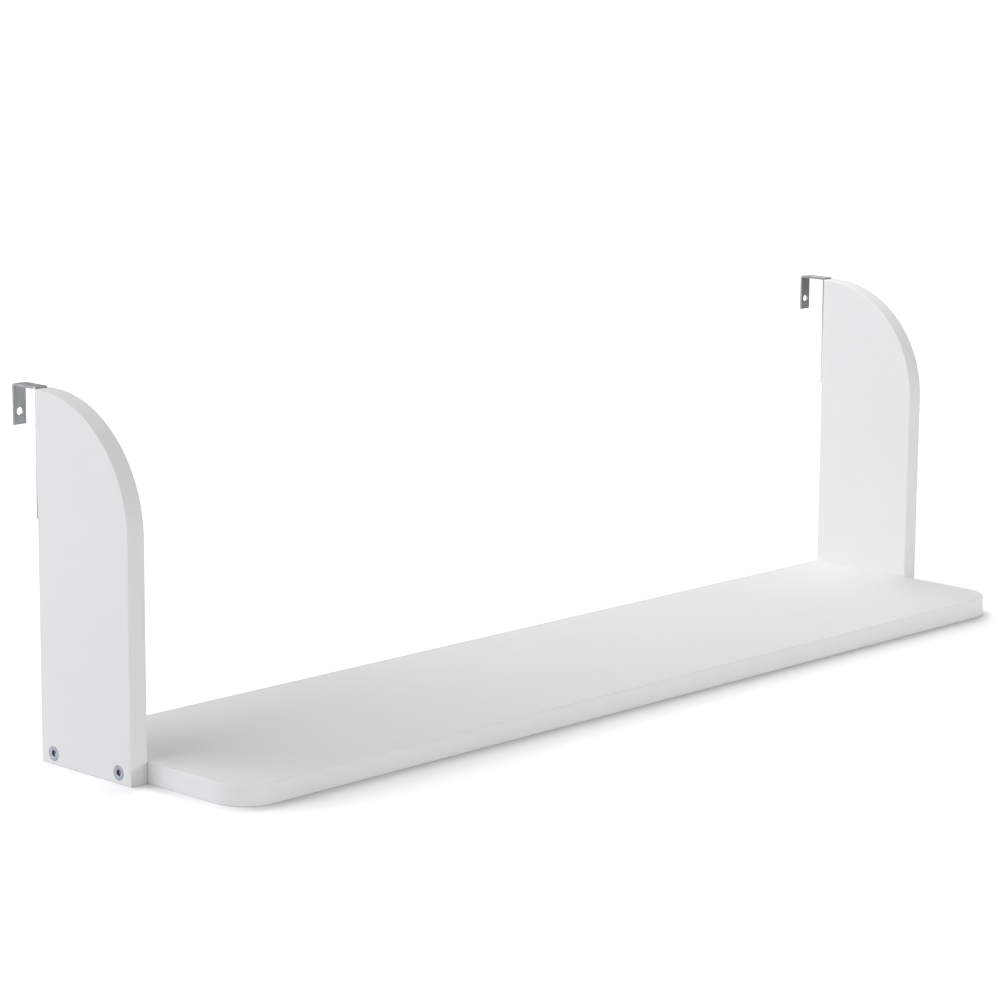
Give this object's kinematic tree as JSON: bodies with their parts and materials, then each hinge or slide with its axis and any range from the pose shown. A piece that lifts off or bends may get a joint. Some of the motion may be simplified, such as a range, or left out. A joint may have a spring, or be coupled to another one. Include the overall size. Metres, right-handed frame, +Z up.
{
  "type": "hanging shelf with side brackets",
  "caption": "White hanging shelf: a board with rounded front corners between upright side brackets, with bent steel straps that hook over a rail or bed side.",
  "frame": {"origin": "middle of the overall footprint, at the underside of board and brackets", "axes": "+X along the board to the right, +Y to the back where the hooks are, +Z up"},
  "size_m": [1, 0.25, 0.3015],
  "materials": {
    "white_lacquer": "satin white lacquer on board, edges softened",
    "zinc_strap": "zinc plated strip steel, dull",
    "bolt_zinc": "bright zinc plated with a blue cast",
    "nut_zinc": "zinc plated, turned",
    "beech": "bare fluted beech",
    "screw_zinc": "zinc plated"
  },
  "bodies": {
    "root": {"shelf_board": "white_lacquer", "left_bracket": "white_lacquer", "right_bracket": "white_lacquer", "left_hook": "zinc_strap", "right_hook": "zinc_strap", "left_rear_bolt": "bolt_zinc", "left_front_bolt": "bolt_zinc", "right_rear_bolt": "bolt_zinc", "right_front_bolt": "bolt_zinc", "left_rear_nut": "nut_zinc", "left_front_nut": "nut_zinc", "right_rear_nut": "nut_zinc", "right_front_nut": "nut_zinc", "left_rear_dowel": "beech", "left_front_dowel": "beech", "right_rear_dowel": "beech", "right_front_dowel": "beech", "left_low_screw": "screw_zinc", "left_middle_screw": "screw_zinc", "left_top_screw": "screw_zinc", "right_low_screw": "screw_zinc", "right_middle_screw": "screw_zinc", "right_top_screw": "screw_zinc"}
  },
  "joints": []
}
